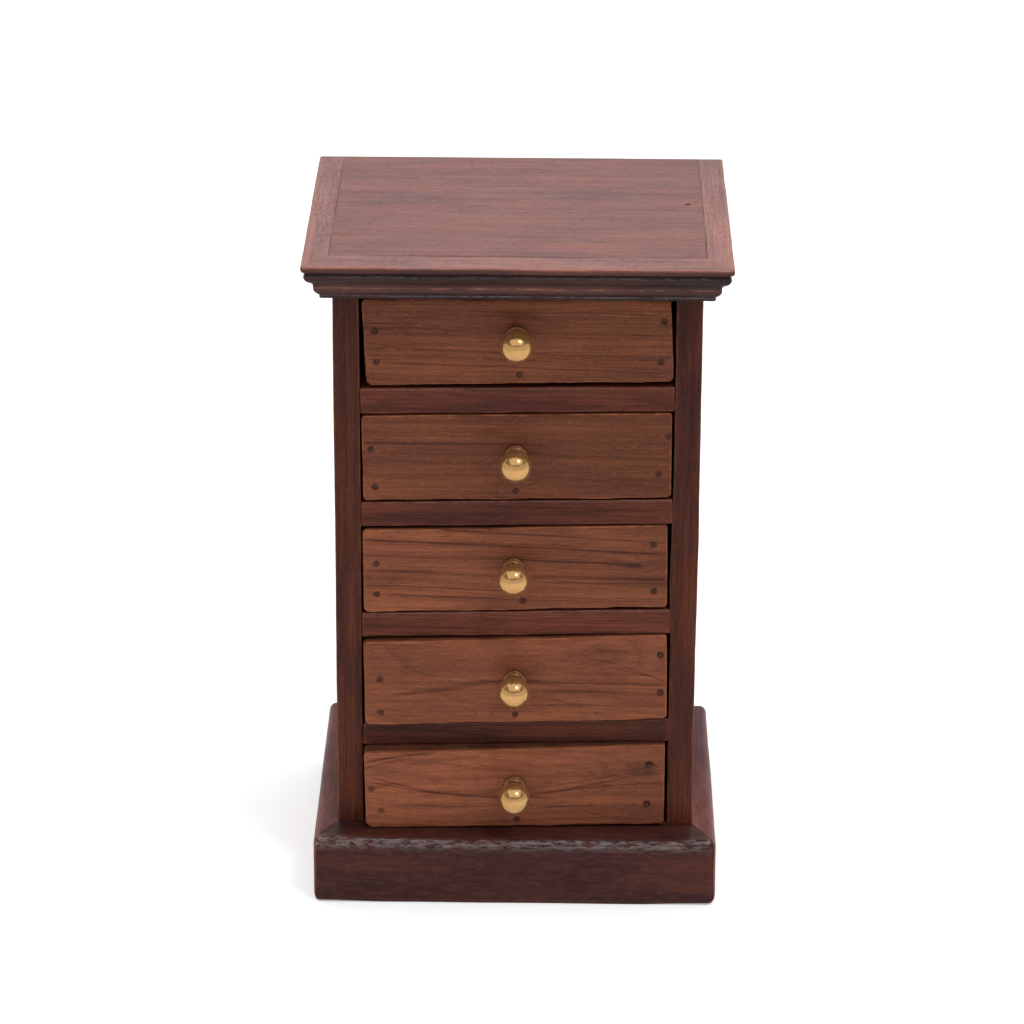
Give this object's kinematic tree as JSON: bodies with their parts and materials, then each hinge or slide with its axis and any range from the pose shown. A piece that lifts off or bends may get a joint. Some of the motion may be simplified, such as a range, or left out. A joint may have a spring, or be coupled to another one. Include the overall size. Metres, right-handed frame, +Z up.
{
  "type": "drawer chest",
  "caption": "Small free-standing wooden chest of stacked drawers with brass ball knobs, a moulded top and a stepped base, for keeping small parts on a desk.",
  "frame": {"origin": "on the ground, under the middle of the moulded top's footprint", "axes": "+X to the right as seen from the front, +Y to the back, +Z up; the drawers open towards -Y"},
  "size_m": [0.1524, 0.13, 0.252],
  "materials": {
    "drawer_front_wood": "oiled teak-like wood, satin, edges worn lighter",
    "case_wood": "dark reddish-brown stained wood, satin",
    "base_wood": "very dark stained wood, varnished, glossy along the rounded edge",
    "top_wood": "pinkish-brown wood, satin, slightly dusty sheen",
    "cornice_wood": "dark stained moulding, varnished",
    "drawer_box_wood": "plain unfinished wood inside the drawers",
    "panel_wood": "thin stained panel, matt",
    "brass": "polished",
    "steel": "dull, dark with age"
  },
  "bodies": {
    "case": {"base_front": "base_wood", "base_left": "base_wood", "base_right": "base_wood", "case_side_left": "case_wood", "case_side_right": "case_wood", "shelf_1": "case_wood", "shelf_2": "case_wood", "shelf_3": "case_wood", "shelf_4": "case_wood", "bottom_board": "case_wood", "case_top": "case_wood", "back_panel": "panel_wood", "top_board": "top_wood", "cornice_front": "cornice_wood", "cornice_left": "cornice_wood", "cornice_right": "cornice_wood", "case_pins": "steel", "strip_pins": "steel", "back_panel_pins": "steel"},
    "drawer_1": {"drawer_1_front": "drawer_front_wood", "drawer_1_side_left": "drawer_box_wood", "drawer_1_side_right": "drawer_box_wood", "drawer_1_back": "drawer_box_wood", "drawer_1_bottom": "drawer_box_wood", "drawer_1_knob": "brass", "drawer_1_knob_screw": "steel", "drawer_1_pins": "steel"},
    "drawer_2": {"drawer_2_front": "drawer_front_wood", "drawer_2_side_left": "drawer_box_wood", "drawer_2_side_right": "drawer_box_wood", "drawer_2_back": "drawer_box_wood", "drawer_2_bottom": "drawer_box_wood", "drawer_2_knob": "brass", "drawer_2_knob_screw": "steel", "drawer_2_pins": "steel"},
    "drawer_3": {"drawer_3_front": "drawer_front_wood", "drawer_3_side_left": "drawer_box_wood", "drawer_3_side_right": "drawer_box_wood", "drawer_3_back": "drawer_box_wood", "drawer_3_bottom": "drawer_box_wood", "drawer_3_knob": "brass", "drawer_3_knob_screw": "steel", "drawer_3_pins": "steel"},
    "drawer_4": {"drawer_4_front": "drawer_front_wood", "drawer_4_side_left": "drawer_box_wood", "drawer_4_side_right": "drawer_box_wood", "drawer_4_back": "drawer_box_wood", "drawer_4_bottom": "drawer_box_wood", "drawer_4_knob": "brass", "drawer_4_knob_screw": "steel", "drawer_4_pins": "steel"},
    "drawer_5": {"drawer_5_front": "drawer_front_wood", "drawer_5_side_left": "drawer_box_wood", "drawer_5_side_right": "drawer_box_wood", "drawer_5_back": "drawer_box_wood", "drawer_5_bottom": "drawer_box_wood", "drawer_5_knob": "brass", "drawer_5_knob_screw": "steel", "drawer_5_pins": "steel"}
  },
  "joints": [
    {"name": "drawer_1_slide", "type": "slide", "parent": "case", "child": "drawer_1", "axis": [0, -1, 0], "range_m": [0, 0.075]},
    {"name": "drawer_2_slide", "type": "slide", "parent": "case", "child": "drawer_2", "axis": [0, -1, 0], "range_m": [-0.0004, 0.0746]},
    {"name": "drawer_3_slide", "type": "slide", "parent": "case", "child": "drawer_3", "axis": [0, -1, 0], "range_m": [-0.0006, 0.0744]},
    {"name": "drawer_4_slide", "type": "slide", "parent": "case", "child": "drawer_4", "axis": [0, -1, 0], "range_m": [-0.002, 0.073]},
    {"name": "drawer_5_slide", "type": "slide", "parent": "case", "child": "drawer_5", "axis": [0, -1, 0], "range_m": [-0.005, 0.07]}
  ]
}
